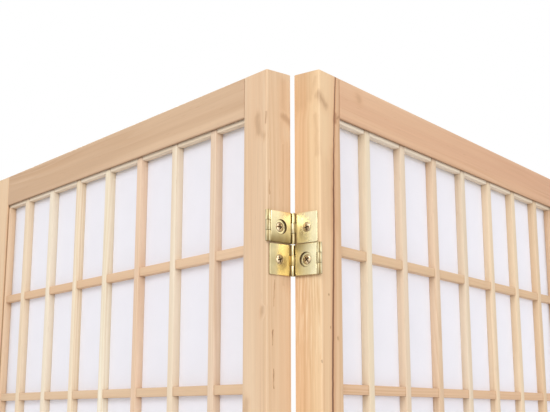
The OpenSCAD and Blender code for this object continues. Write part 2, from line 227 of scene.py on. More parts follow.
class Finish:
    """A material under construction. set() gives a node's inputs their values or joins them, and
    add() makes a node with such inputs and returns one of its outputs. The others are short ways
    to nodes that come often: tinted() multiplies two colours, stained() mixes a tone in where a
    mask is high, and blend_into() lets another shader take a share of the surface."""

    def __init__(self, name, **shader):
        self.material = bpy.data.materials.new(name)
        self.material.use_nodes = True
        self.tree = self.material.node_tree
        self.shader = self.tree.nodes["Principled BSDF"]
        self.set(self.shader, shader)

    def set(self, node, values):
        for key, value in values.items():
            socket = node.inputs[key.replace("_", " ") if isinstance(key, str) else key]
            if isinstance(value, bpy.types.NodeSocket):
                self.tree.links.new(value, socket)
            else:
                socket.default_value = value

    def surface(self, colour, roughness, **more):
        self.set(self.shader, {"Base Color": colour, "Roughness": roughness, **more})

    def add(self, kind, values=None, out=0, **settings):
        node = self.tree.nodes.new("ShaderNode" + kind)
        for key, value in settings.items():
            setattr(node, key, value)
        self.set(node, values or {})
        return node.outputs[out]

    def object_point(self):
        return self.add("TexCoord", out="Object")

    def field(self, name, out="Fac"):
        return self.add("Attribute", out=out, attribute_name=name)

    def math(self, operation, *values):
        return self.add("Math", dict(enumerate(values)), operation=operation)

    def times(self, a, b, plus=None):
        """a times b, and plus a third value where one is given."""
        if plus is None:
            return self.math("MULTIPLY", a, b)
        return self.math("MULTIPLY_ADD", a, b, plus)

    def vector(self, operation, *values, out=0):
        return self.add("VectorMath", dict(enumerate(values)), out=out, operation=operation)

    def scaled(self, vector, x, y, z):
        return self.vector("MULTIPLY", vector, (x, y, z))

    def noise(self, vector, scale=None, detail=2.0, rough=0.5, out="Fac"):
        """Noise at the vector times the scale, which is one number or one for each axis."""
        if scale is not None:
            vector = self.scaled(vector, *(scale if isinstance(scale, tuple) else [scale] * 3))
        values = {"Vector": vector, "Scale": 1.0, "Detail": detail, "Roughness": rough}
        return self.add("TexNoise", values, out=out)

    def step(self, value, low, high):
        """A smooth step that is 0 at low and 1 at high."""
        values = {0: value, 1: low, 2: high, 3: 0.0, 4: 1.0}
        return self.add("MapRange", values, interpolation_type="SMOOTHSTEP")

    def mix(self, share, a, b, blend="MIX"):
        return self.add("Mix", {0: share, 6: a, 7: b}, out=2, data_type="RGBA", blend_type=blend)

    def tinted(self, colour, by):
        return self.mix(1.0, colour, by, "MULTIPLY")

    def stained(self, colour, where, much, tone):
        return self.mix(self.times(where, much), colour, tone)

    def grey(self, value):
        return self.add("CombineColor", {0: value, 1: value, 2: value})

    def bump(self, height, distance, strength):
        values = {"Height": height, "Distance": distance, "Strength": strength}
        self.set(self.shader, {"Normal": self.add("Bump", values)})

    def blend_into(self, share, other):
        both = self.add("MixShader", {0: share, 1: self.shader.outputs[0], 2: other})
        self.tree.links.new(both, self.tree.nodes["Material Output"].inputs["Surface"])


# The line attribute where the dark shake is drawn and in the middle of its groove; it is 0 on
# every piece that has no shake
SHAKE_ZERO, SHAKE_MIDDLE = 0.1, 0.1003


def softwood(name, marks=(), ring=0.0036, contrast=0.32):
    """Planed softwood. The grain attribute has the wood's own coordinates, with the pith on its z
    axis; pale and warm are a board's two tones, which slow noise mixes into broad soft streaks.
    Growth rings are the distance from the pith with uneven steps, each ring pale at first and tan
    at its end, and they fade away in patches. Noise drawn out along the grain gives fibres and
    short dark flecks. The shading attribute is painted shade where it is above zero, in joints,
    recesses and under edges, and a painted highlight on edges where it is below zero.
    line is the distance from a dark shake plus 0.1 m, and torn is where the fibres stand up. Marks
    are knots and streaks: the distance from a short straight line, with a ragged rim."""
    w = Finish(name)
    grain, crease = w.field("grain", "Vector"), w.field("crease")
    line, torn = w.field("line"), w.field("torn")
    pale, warm = w.field("pale", "Color"), w.field("warm", "Color")
    middle = (0.5, 0.5, 0.5)
    slow = w.vector("SUBTRACT", w.noise(grain, (16, 16, 2.6), out="Color"), middle)
    bent = w.vector("ADD", grain, w.scaled(slow, 0.020, 0.020, 0.0))
    wobble = w.vector("SUBTRACT", w.noise(grain, (210, 210, 110), out="Color"), middle)
    blurred = w.vector("ADD", grain, w.scaled(wobble, 0.0030, 0.0030, 0.0050))
    rough = w.times(w.noise(grain, (700, 700, 130)), 1.5, -0.75)
    halo = mark = None
    for start, end, size, dark in marks:
        along = np.subtract(end, start)
        length = max(float(np.linalg.norm(along)), 1e-6)
        away = w.vector("SUBTRACT", blurred, start)
        share = w.vector("DOT_PRODUCT", away, tuple(along / length), out="Value")
        share = w.add("Clamp", {0: w.math("DIVIDE", share, length)})
        step = w.add("VectorMath", {0: tuple(along), "Scale": share}, operation="SCALE")
        far = w.vector("LENGTH", w.vector("SUBTRACT", away, step), out="Value")
        far = w.times(far, 1 / size, rough)
        core, around = w.times(w.step(far, 2.2, 0.1), dark), w.step(far, 4.2, 0.8)
        halo = around if halo is None else w.math("MAXIMUM", halo, around)
        mark = core if mark is None else w.math("MAXIMUM", mark, core)
    radius = w.vector("LENGTH", w.scaled(bent, 1, 1, 0), out="Value")
    if marks:
        radius = w.times(halo, 0.0016, radius)
    uneven = w.times(w.noise(grain, (75, 75, 2.5), 1.0), 3.2)
    uneven = w.times(w.noise(grain, (280, 280, 5), 1.0), 0.7, uneven)
    phase = w.math("FRACT", w.times(radius, 1 / ring, uneven))
    band = w.times(w.step(phase, 0.15, 0.85), w.step(phase, 1.0, 0.90))
    band = w.times(band, w.step(w.noise(grain, (48, 48, 3.5)), 0.42, 0.72))
    broad, streak = w.noise(grain, (38, 38, 2.2), 1.0), w.noise(grain, (130, 130, 3.2))
    share = w.times(streak, 0.9, w.times(broad, 1.5))
    colour = w.mix(w.step(share, 0.88, 1.52), pale, warm)
    tan = w.mix(w.times(band, contrast), (1, 1, 1, 1), (0.74, 0.60, 0.44, 1))
    colour = w.tinted(colour, tan)
    pencil = w.step(w.noise(grain, (620, 620, 6), 1.0), 0.66, 0.76)
    colour = w.stained(colour, pencil, 0.28, w.tinted(colour, (0.72, 0.60, 0.46, 1)))
    fibre = w.noise(grain, (950, 950, 18), 3.0, 0.6)
    colour = w.tinted(colour, w.grey(w.times(fibre, 0.16, 0.92)))
    fleck = w.step(w.noise(grain, (1250, 1250, 75), 1.0), 0.71, 0.79)
    colour = w.stained(colour, fleck, 0.22, rgb(170, 122, 80))
    if marks:
        colour = w.stained(colour, halo, 0.16, rgb(212, 160, 112))
        colour = w.mix(mark, colour, rgb(128, 80, 46))
    across = w.math("SUBTRACT", line, SHAKE_MIDDLE)
    beside = w.math("ABSOLUTE", w.times(w.noise(grain, (0, 0, 90)), 0.0006, across))
    groove, past = w.step(beside, 0.00085, 0.00022), w.step(across, 0.0, 0.0005)
    colour = w.mix(past, colour, w.tinted(colour, (0.93, 0.89, 0.90, 1)))
    colour = w.stained(colour, w.step(beside, 0.0030, 0.0004), 0.30, rgb(200, 124, 80))
    colour = w.stained(colour, groove, 0.90, rgb(100, 52, 26))
    lift = w.noise(grain, (1050, 1050, 42))
    tuft, pit = w.times(w.step(lift, 0.52, 0.66), torn), w.times(w.step(lift, 0.44, 0.34), torn)
    colour = w.stained(colour, tuft, 0.65, rgb(252, 230, 196))
    colour = w.stained(colour, pit, 0.35, rgb(196, 150, 104))
    # Painted shade where the shading attribute is above zero, painted highlight where it is below
    # zero
    colour = w.mix(w.math("MAXIMUM", crease, 0.0), colour, rgb(118, 76, 46))
    painted_highlight = w.math("MAXIMUM", w.times(crease, -1.0), 0.0)
    colour = w.mix(painted_highlight, colour, rgb(250, 228, 196))
    w.surface(colour, w.times(fibre, 0.16, 0.48), Specular_IOR_Level=0.3)
    height = w.times(fibre, 0.5, w.times(band, 0.35))
    height = w.math("SUBTRACT", w.times(tuft, 2.0, height), w.times(groove, 4.0, fleck))
    w.bump(height, 0.00006, 0.5)
    return w.material


def screen_paper():
    """White screen paper: scattered long fibres a little paler and more opaque than the ground,
    slow cloudiness, and some light let through from behind."""
    p = Finish("screen_paper")
    at = p.object_point()
    cloud, pulp = p.noise(at, 60, 3.0), p.noise(at, 900, 3.0, 0.6)
    swirl = p.scaled(p.noise(at, 120, out="Color"), 5, 5, 5)
    warp = p.vector("ADD", p.scaled(at, 260, 260, 90), swirl)
    strands = p.math("ABSOLUTE", p.math("SUBTRACT", p.noise(warp, detail=1.0), 0.5))
    strands = p.step(strands, 0.02, 0.0)
    light = p.math("ADD", p.times(cloud, 0.03, 0.965), p.times(pulp, 0.02))
    light = p.times(strands, 0.012, light)
    white = p.tinted(rgb(246, 245, 249), p.grey(light))
    p.surface(white, 0.82, Specular_IOR_Level=0.25)
    p.bump(p.math("ADD", pulp, p.times(strands, 0.7)), 0.00005, 0.4)
    p.blend_into(0.34, p.add("BsdfTranslucent", {"Color": white}))
    return p.material


def pressed_brass(name, bright, dull, rough):
    """Pale pressed brass. A painted reflection attribute and a slow cloud take it from bright to
    dull, gold makes it more yellow, an attribute of dirt and painted shade darkens corners,
    recesses and cut edges, and the sheet keeps fine drawing lines along z and hardly visible dents."""
    b = Finish(name, Metallic=1.0)
    at = b.object_point()
    painted_reflection, grime, gold = b.field("painted_reflection"), b.field("grime"), b.field("gold")
    cloud, lines = b.noise(at, (150, 150, 110), 3.0), b.noise(at, (2600, 2600, 110))
    share = b.times(cloud, 0.55, b.times(lines, 0.14, -0.345))
    share = b.add("Clamp", {0: b.math("ADD", share, painted_reflection)})
    colour = b.mix(share, b.mix(gold, bright, rgb(250, 214, 124)), dull)
    specks = b.times(b.step(b.noise(at, 1500, 1.0), 0.70, 0.80), 0.25)
    # Dark specks, and painted shade where the dirt and shade attribute is high
    darkening = b.math("MAXIMUM", specks, b.times(grime, b.times(cloud, 0.5, 0.75)))
    colour = b.mix(b.add("Clamp", {0: darkening}), colour, rgb(94, 62, 22))
    b.surface(colour, b.times(share, 0.20, b.times(darkening, 0.3, rough)))
    dents = b.noise(at, (240, 240, 170), 1.0)
    b.bump(b.times(lines, 0.05, dents), 0.00006, 0.3)
    return b.material


def turned_steel(name, tint, stain):
    """Plated steel, tinted, with darker stains, painted shade and dirt where one attribute is high,
    and fine scratches."""
    s = Finish(name, Metallic=1.0)
    at = s.object_point()
    cloud, scratch = s.noise(at, 620, 3.0), s.noise(at, (5200, 5200, 900), 1.0)
    colour = s.mix(s.step(cloud, 0.40, 0.70), tint, stain)
    s.surface(s.mix(s.field("grime"), colour, rgb(64, 44, 22)), s.times(cloud, 0.3, 0.20))
    s.bump(scratch, 0.00002, 0.4)
    return s.material


def dowel_finish():
    """Beech with short dark pores along z, for the hidden dowels."""
    d = Finish("dowel_wood")
    at = d.object_point()
    fibre = d.noise(at, 900, 3.0, 0.6)
    pore = d.step(d.noise(at, (2200, 2200, 300), 1.0), 0.66, 0.74)
    colour = d.mix(fibre, rgb(212, 176, 132), rgb(196, 154, 108))
    colour = d.stained(colour, pore, 0.5, rgb(150, 108, 70))
    d.surface(colour, d.times(fibre, 0.2, 0.5))
    d.bump(fibre, 0.00004, 0.4)
    return d.material


def floor_finish():
    """Plain pale floor with a faint mottle, which fades into the white surroundings away from the
    screen."""
    f = Finish("pale_floor")
    at = f.object_point()
    f.surface(f.mix(f.noise(at, 6, 3.0), rgb(243, 243, 242), rgb(247, 247, 246)), 0.9)
    fade = f.step(f.vector("LENGTH", at, out="Value"), 1.2, 2.6)
    f.blend_into(fade, f.add("BsdfTransparent"))
    return f.material


def standing(pith_x, pith_y, shift):
    """Grain coordinates of a board that stands upright: its pith runs along z at (pith_x, pith_y),
    and a shift along z gives each board its own pattern."""
    return lambda p: np.stack([p[:, 0] - pith_x, p[:, 1] - pith_y, p[:, 2] + shift], 1)


def lying(pith_y, pith_z, shift):
    """Grain coordinates of a board that lies along x, with its pith at (pith_y, pith_z)."""
    return lambda p: np.stack([p[:, 1] - pith_y, p[:, 2] - pith_z, p[:, 0] + shift], 1)


# Each frame board: its grain, its pale tone and its warm tone
BOARDS = {
    "left_hinge_stile": (standing(-0.020, 0.050, 10.0), rgb(237, 208, 175), rgb(227, 190, 154)),
    "left_outer_stile": (standing(0.470, 0.020, 12.1), rgb(236, 204, 168), rgb(226, 186, 148)),
    "left_top_rail": (lying(0.045, 1.640, 14.3), rgb(224, 191, 158), rgb(208, 173, 140)),
    "left_bottom_rail": (lying(-0.070, 0.020, 16.7), rgb(230, 196, 160), rgb(216, 180, 144)),
    "right_hinge_stile": (standing(-0.035, -0.034, 20.3), rgb(239, 205, 164), rgb(230, 189, 148)),
    "right_outer_stile": (standing(0.350, 0.040, 22.9), rgb(236, 204, 170), rgb(224, 184, 146)),
    "right_top_rail": (lying(-0.070, 1.750, 24.4), rgb(231, 190, 154), rgb(219, 172, 138)),
    "right_bottom_rail": (lying(0.030, 0.110, 26.2), rgb(232, 194, 158), rgb(220, 178, 142)),
}
# Knots, smudges and dashes on them, in a panel's own millimetres. A row has the face, both ends as
# two coordinates each, the radius and the darkness; a face is the axis that it crosses, and where
END, FRONT, REAR = (0, 1.8), (1, -20.2), (1, -0.3)
MARKS = {
    "left_hinge_stile": (
        (FRONT, 11.4, 1669.5, 10.4, 1659.5, 1.9, 0.26),
        (FRONT, 8.2, 1658.5, 4.6, 1655.5, 1.3, 0.15),
        (FRONT, 2.6, 1670.5, 2.8, 1664.5, 0.65, 0.45),
        (END, -6.6, 1670.2, 0.4, 1665.6, 1.7, 0.34),
        (END, -6.8, 1693.0, -6.2, 1676.0, 1.5, 0.10),
        (END, -3.0, 1650.0, -2.6, 1560.0, 2.2, 0.06),
        (END, -6.6, 1650.0, -6.1, 1560.0, 0.7, 0.13),
        (FRONT, 5.2, 1543.5, 5.2, 1541.0, 1.2, 0.22),
        (FRONT, 21.8, 1487.0, 21.8, 1482.0, 2.0, 0.20),
        (END, -15.4, 1530.5, -15.4, 1521.0, 0.30, 0.75),
        (END, -14.6, 1507.5, -14.7, 1495.0, 0.28, 0.65),
        (END, -13.8, 1562.0, -14.0, 1546.0, 0.25, 0.45),
        (END, -17.6, 1626.0, -17.5, 1616.0, 0.30, 0.50),
        (FRONT, 14.0, 745.0, 14.0, 739.0, 3.0, 0.50)),
    "right_hinge_stile": (
        (FRONT, 1.8, 1682.5, 8.2, 1676.6, 2.2, 0.38),
        (FRONT, 3.0, 1681.4, 6.4, 1678.2, 1.1, 0.45),
        (END, -17.2, 1694.5, -14.2, 1684.0, 1.2, 0.13),
        (END, -5.5, 1699.0, -5.0, 1680.0, 4.0, 0.13),
        (END, -12.5, 1700.0, -11.0, 1682.0, 2.6, 0.12),
        (END, -17.0, 1669.0, -18.2, 1643.0, 1.0, 0.12),
        (FRONT, 20.2, 1674.0, 19.4, 1669.0, 1.3, 0.55),
        (FRONT, 20.4, 1671.5, 24.6, 1672.6, 0.9, 0.40),
        (FRONT, 16.6, 1648.0, 16.2, 1604.0, 1.5, 0.16),
        (FRONT, 12.0, 1636.0, 13.0, 1600.0, 3.4, 0.06),
        (FRONT, 10.5, 1553.8, 10.5, 1553.2, 0.35, 0.70),
        (FRONT, 12.2, 1532.8, 12.2, 1532.2, 0.35, 0.70),
        (FRONT, 2.2, 1511.5, 2.4, 1510.5, 0.40, 0.60),
        (FRONT, 20.0, 1527.0, 20.2, 1526.0, 0.60, 0.45),
        (REAR, 17.0, 1123.0, 17.0, 1117.0, 3.0, 0.50)),
    "right_top_rail": ((FRONT, 48.5, 1692.3, 50.0, 1691.8, 2.2, 0.20),),
    "left_outer_stile": ((FRONT, 398.0, 1218.0, 398.0, 1212.0, 2.6, 0.50),),
    "right_bottom_rail": ((FRONT, 247.0, 66.0, 253.0, 66.0, 2.8, 0.45),)}


def in_grain(board, face, *others):
    """A point on a face of a board, given by its two other coordinates, in the board's grain
    coordinates."""
    point = np.insert(others, *face)[None] * MM
    return tuple(float(v) for v in BOARDS[board][0](point)[0])


frame_wood = softwood("frame_wood", [
    (in_grain(board, face, *ends[:2]), in_grain(board, face, *ends[2:]), size * MM, dark)
    for board, rows in MARKS.items() for face, *ends, size, dark in rows])
lattice_wood = softwood("lattice_wood", ring=0.0022, contrast=0.42)
dowel_wood = dowel_finish()
paper_white = screen_paper()
brass = pressed_brass("pressed_brass", rgb(255, 244, 202), rgb(140, 122, 76), 0.24)
pin_brass = pressed_brass("pin_brass", rgb(232, 208, 144), rgb(160, 132, 76), 0.26)
screw_steel = turned_steel("screw_steel", rgb(216, 194, 160), rgb(124, 98, 68))
brad_steel = turned_steel("brad_steel", rgb(206, 206, 202), rgb(150, 148, 142))


def wood_fields(grain, pale, warm, **more):
    """The fields that the wood material reads, for every point."""
    tones = {"pale": pale, "warm": warm}
    tones = {key: np.tile(tone[:3], (len(grain), 1)) for key, tone in tones.items()}
    return dict(grain=grain, **tones, **more)


# Frame


def rounded(corner_x, corner_y, to_x, to_y, r, turn, steps=4):
    """A quarter round at a corner of a section. to_x and to_y are +1 or -1 and lead from the corner
    into the wood. The points run from the face at corner_x to the one at corner_y if turn is above
    0, and else the other way."""
    t = np.linspace(0, math.pi / 2, steps)
    x = corner_x + to_x * r * (1 - np.cos(t))
    y = corner_y + to_y * r * (1 - np.sin(t))
    points = np.stack([x, y], 1)
    return points if turn > 0 else points[::-1]


def section_of(*runs):
    """Runs of section points, each with its painted shading, as points and shading values."""
    points = [np.atleast_2d(run) for run, _ in runs]
    creases = [np.broadcast_to(np.asarray(crease, float), len(run))
               for run, (_, crease) in zip(points, runs)]
    return np.concatenate(points), np.concatenate(creases)


def stile_section(x0, x1, notched, outer):
    """An upright's section, anticlockwise from its corner beside the lattice. Notched, the corner
    behind the lip is cut away to the rebate; otherwise it is eased like the others. The long free
    corner has a painted highlight, and the corner at the lattice a little painted shade."""
    inner, far, s = (x0, x1, -1) if outer else (x1, x0, 1)
    nook = inner - s * REBATE if notched else inner
    if notched:
        lip_back = rounded(inner, LAT_Y, -s, -1, LIP_R, 1)
        back_in = rounded(nook, LAT_Y, s, 1, NOOK_R, -1)
    else:
        lip_back = np.stack([np.full(4, inner), LAT_Y - np.linspace(LIP_R, 0, 4)], 1)
        back_in = np.stack([np.full(4, inner), LAT_Y + np.linspace(NOOK_R, 0.010, 4)], 1)
    # Each run's second value is painted shading: shade in the corner at the lattice and behind the
    # lip, a highlight on the long free corner
    section, crease = section_of(
        (rounded(inner, FRONT_Y, -s, 1, BOARD_EASE, -1), (0.10, 0.12, 0.16, 0.24)),
        (lip_back, 0.6), (back_in, 0.6), ((nook, BACK_Y), 0.0),
        (rounded(far, BACK_Y, s, -1, BOARD_EASE if outer else SHARP_EDGE, -1), 0.0),
        ((far, BACK_Y - EDGE_TONE), 0.0), ((far, FRONT_Y + EDGE_TONE), 0.0),
        (rounded(far, FRONT_Y, s, 1, BOARD_EASE, 1), (-0.03, -0.12, -0.12, -0.03)),
        ((far + s * EDGE_TONE, FRONT_Y), 0.0), ((inner - s * 0.0035, FRONT_Y), 0.0))
    return (section[::-1], crease[::-1]) if outer else (section, crease)


# Where the dark shake runs in the front of the right hinge stile: heights and places across it
SHAKE_Z = np.array([0, 900, 1300, 1488, 1525, 1563, 1589, 1628, 1656, 1675, 1686, 1700]) * MM
SHAKE_X = np.array([9.5, 10.5, 11.7, 13.4, 14.4, 15.6, 16.7, 17.5, 18.3, 19.0, 20.2, 20.8]) * MM


def beside_shake(p):
    """How far points lie beside the shake, plus 0.1 m. The line is thinner towards the top, and the
    distance grows twentyfold behind the front face, so that no other face shows it."""
    across = p[:, 0] - np.interp(p[:, 2], SHAKE_Z, SHAKE_X)
    thin = np.interp(p[:, 2], [1.45, 1.61, 1.66, 1.70], [0.58, 0.62, 1.0, 1.15])
    return SHAKE_ZERO + across * np.where(p[:, 1] > FRONT_Y + 0.001, 20.0, thin)


# The stiles' end faces at the hinges are a little darker than their fronts
EDGE_SHADE = {"left": np.array([0.92, 0.95, 0.96]), "right": np.array([0.97, 0.985, 0.98])}


def build_stile(side, name, x0, x1, outer):
    """Carries the section up the stile, whole at the ends and notched behind the lattice, with the
    two ends drawn in a little where they are eased."""
    node = f"{side}_{name}"
    top, cut, foot, crown = LAT_Z + LAT_H, 0.00005, 0.0009, 0.0007
    draw_in = {
        0: foot, 0.0003: 0.0003, foot: 0, LAT_Z - cut: 0, LAT_Z: 0, top: 0, top + cut: 0,
        PANEL_H - crown: 0, PANEL_H - 0.0002: 0.0002, PANEL_H: crown}
    between = [LEG_H, *np.arange(0.1, 1.44, 0.067), *np.arange(1.45, 1.67, 0.011)]
    draw_in.update({z: 0 for z in between})
    rings, creases = [], []
    for z, by in sorted(draw_in.items()):
        section, crease = stile_section(x0, x1, LAT_Z <= z <= top, outer)
        rings.append(np.column_stack([inset(section, by), np.full(len(section), z)]))
        # Painted shade is weaker where no lattice lies beside the stile; painted highlights stay
        beside = LAT_Z <= z <= PANEL_H - RAIL_H
        creases.append(np.where(crease > 0, crease * (1 if beside else 0.3), crease))
    shape = rings_solid(rings)
    grain, pale, warm = BOARDS[node]
    points = shape[0]
    fields = wood_fields(grain(points), pale, warm, crease=np.concatenate(creases))
    edge = (points[:, 0] < END_X + 0.0002)[:, None]
    for key in ("pale", "warm"):
        fields[key] = np.where(edge, fields[key] * EDGE_SHADE[side], fields[key])
    if node == "right_hinge_stile":
        fields["line"] = beside_shake(points)
        torn = np.interp(points[:, 2], [1.485, 1.525, 1.558, 1.566], [0, 0.6, 1, 0])
        fields["torn"] = torn * (points[:, 0] < 0.0035)
    make(f"{node}_wood", shape, side, f"{side}_panel", "frame_wood", frame_wood, [node], **fields)


def build_rail(side, name, z0, z1, notch_up):
    """Carries an L-shaped section with eased corners along the rail, its ends drawn in a hair so
    that the butt joint shows as a line. The lip's front edge is rounded more than the others and
    carries painted shade, and the far front edge a painted highlight."""
    node = f"{side}_{name}"
    inner, far, s = (z1, z0, 1) if notch_up else (z0, z1, -1)
    nook, front_r, back_r = inner - s * REBATE, 0.0013, 0.0005
    section, crease = section_of(
        (rounded(FRONT_Y, far, 1, s, BOARD_EASE, -1), -0.12),
        ((FRONT_Y, far + s * EDGE_TONE), 0.0), ((FRONT_Y, inner - s * 0.0034), 0.0),
        (rounded(FRONT_Y, inner, 1, -s, front_r, 1, 6), (0.04, 0.10, 0.22, 0.40, 0.60, 0.75)),
        (rounded(LAT_Y, inner, -1, -s, back_r, -1), 0.85),
        (rounded(LAT_Y, nook, 1, s, NOOK_R, 1), 0.6), ((BACK_Y, nook), 0.1),
        (rounded(BACK_Y, far, -1, s, BOARD_EASE, 1), 0.0))
    if notch_up:
        section, crease = section[::-1], crease[::-1]
    # Rings from either end: how far in they stand, how far they are drawn in, and how much darker
    # they are close to the joint
    near = np.array([0.00003, 0.0003, 0.001])
    xs = [*(RAIL_X + near), *np.linspace(0.1, 0.34, 4), *(FAR_X - STILE_W - near[::-1])]
    ends, darkening = (0.00012, 0.00004, 0, 0, 0), (0.12, 0.08, 0.02, 0, 0)
    rings = [np.column_stack([np.full(len(section), x), inset(section, by)])
             for x, by in zip(xs, ends + ends[::-1])]
    creases = [np.maximum(crease, d) if d else crease for d in darkening + darkening[::-1]]
    shape = oriented(rings_solid(rings))
    grain, pale, warm = BOARDS[node]
    make(f"{node}_wood", shape, side, f"{side}_panel", "frame_wood", frame_wood, [node],
         **wood_fields(grain(shape[0]), pale, warm, crease=np.concatenate(creases)))


for side in ("left", "right"):
    build_stile(side, "hinge_stile", END_X, RAIL_X, False)
    build_stile(side, "outer_stile", FAR_X - STILE_W, FAR_X, True)
    build_rail(side, "top_rail", PANEL_H - RAIL_H, PANEL_H, False)
    build_rail(side, "bottom_rail", LEG_H, LEG_H + RAIL_H, True)


# Lattice


def along_axis(axis, section, at):
    """The section as a ring across the x or z axis."""
    at = np.full(len(section), at)
    return np.column_stack([section, at] if axis == "z" else [at, section])


def cut_from_log(shape, axis, seed, tones, crease):
    """The shape with the fields of the wood: its own pith, place in the log and colour, which lies
    between two tones."""
    points = shape[0]
    luck = np.random.default_rng(seed)
    angle, far, shift = luck.uniform(0, TURN), luck.uniform(0.02, 0.07), luck.uniform(1, 90)
    own = (points - points.mean(0)).T
    a, b, c = own if axis == "z" else own[[1, 2, 0]]
    grain = np.stack([a + far * math.cos(angle), b + far * math.sin(angle), c + shift], 1)
    share, light = luck.uniform(0, 1), luck.uniform(0.96, 1.02)
    base = (np.array(tones[0]) * (1 - share) + np.array(tones[1]) * share) * light
    return shape, wood_fields(grain, base, base * [0.93, 0.87, 0.80, 1], crease=crease)


# A bar's colour lies between two tones: CREAM for side borders and battens, TAN for crossbars, and
# for end borders PALE_CREAM alone
CREAM, TAN = (rgb(243, 226, 200), rgb(236, 204, 174)), (rgb(235, 208, 175), rgb(228, 190, 156))
PALE_CREAM = rgb(247, 232, 211)
# Tones of the uprights, from the hinge outwards
UPRIGHT_TONES = {
    "left": [rgb(240, 214, 188), rgb(248, 233, 211), rgb(246, 221, 198), rgb(250, 241, 221),
             rgb(249, 233, 208), rgb(246, 232, 210), rgb(241, 220, 192)],
    "right": [rgb(244, 229, 204), rgb(235, 214, 189), rgb(232, 205, 176), rgb(235, 218, 195),
              rgb(235, 212, 182), rgb(238, 218, 190), rgb(234, 208, 176)]}


def lapped_bar(axis, low, high, whole, lapped, laps, seed, tones=CREAM, ease=BAR_EASE, under=0.0,
               joint=0.0, spots=()):
    """A bar along the x or z axis with both ends drawn in a little. Within each lap the lapped
    section takes the place of the whole one, and shade is painted close beside the laps. under
    and joint are the painted shade of each point of the section along the bar and at the laps,
    and spots are more places with their painted shade."""
    inward, dark = dict(drawn_ends(low, high, ease)), dict(spots)
    places = list(dark) if laps else [*dark, *np.linspace(low, high, 6)[1:-1]]
    inward.update({at: 0 for at in places})
    for a, b in laps:
        for away, much in ((0.0018, 0), (0.0005, 0.4), (0.00004, 1), (0, 1)):
            for at in (a - away, b + away):
                if low + ease < at < high - ease:
                    inward[at], dark[at] = 0, much * joint
    rings, crease = [], []
    for at, by in sorted(inward.items()):
        in_lap = any(a - 1e-7 <= at <= b + 1e-7 for a, b in laps)
        rings.append(along_axis(axis, inset(lapped if in_lap else whole, by), at))
        crease.append(np.broadcast_to(np.maximum(dark.get(at, 0.0), under), len(whole)))
    return cut_from_log(rings_solid(rings), axis, seed, tones, np.concatenate(crease))


def upright_bar(x, seed, tone):
    """An upright, notched from the back to half its depth where a crossbar or an end border
    passes. Its back has painted shade, and so has its front close to the rails."""
    whole = eased(x - BAR_W / 2, x + BAR_W / 2, LAT_Y, LAT_BACK_Y, BAR_EASE)
    lapped = np.column_stack([whole[:, 0], np.minimum(whole[:, 1], LAT_Y + BAR_D / 2)])
    laps = [(z, z + BORDER_W) for z in END_BORDERS]
    laps += [(z - BAR_W / 2, z + BAR_W / 2) for z in CROSSBARS]
    rear = (whole[:, 1] > LAT_BACK_Y - 0.0005).astype(float)
    spots = [(at + way * near, much) for at, way in ((PANEL_H - RAIL_H, -1), (LEG_H + RAIL_H, 1))
             for near, much in ((-0.0003, 0.65), (0.0009, 0.25), (0.0024, 0.0))]
    return lapped_bar("z", LAT_Z, LAT_Z + LAT_H, whole, lapped, laps, seed, (tone, tone),
                      under=0.07 * rear, joint=0.55 * rear, spots=spots)


def cross_bar(x0, x1, z0, z1, seed, tones):
    """A crossbar or end border, set back a little and notched from the front where an upright
    passes. Its underside has a little painted shade."""
    whole = eased(LAT_Y + BAR_STEP, LAT_BACK_Y, z0, z1, BAR_EASE)
    lapped = np.column_stack([np.maximum(whole[:, 0], LAT_Y + BAR_D / 2), whole[:, 1]])
    laps = [(x - BAR_W / 2, x + BAR_W / 2) for x in UPRIGHTS]
    under = np.where(whole[:, 1] < z0 + 0.0002, 0.10, 0.0)
    return lapped_bar("x", x0, x1, whole, lapped, laps, seed, tones, under=under, joint=0.30)


def plain_bar(x0, x1, y0, y1, z0, z1, axis, seed, ease=BAR_EASE):
    """A bar without laps that fills a box, with its grain along x or z."""
    if axis == "z":
        return lapped_bar("z", z0, z1, eased(x0, x1, y0, y1, ease), None, [], seed, ease=ease)
    return lapped_bar("x", x0, x1, eased(y0, y1, z0, z1, ease), None, [], seed, ease=ease)


def make_bars(node, side, slot, bars):
    """Bars of one panel as one piece in the place of their node."""
    shape = together([b[0] for b in bars])
    fields = {key: np.concatenate([b[1][key] for b in bars]) for key in bars[0][1]}
    make(f"{node}_wood", shape, side, f"{side}_panel", slot, lattice_wood, [node], **fields)


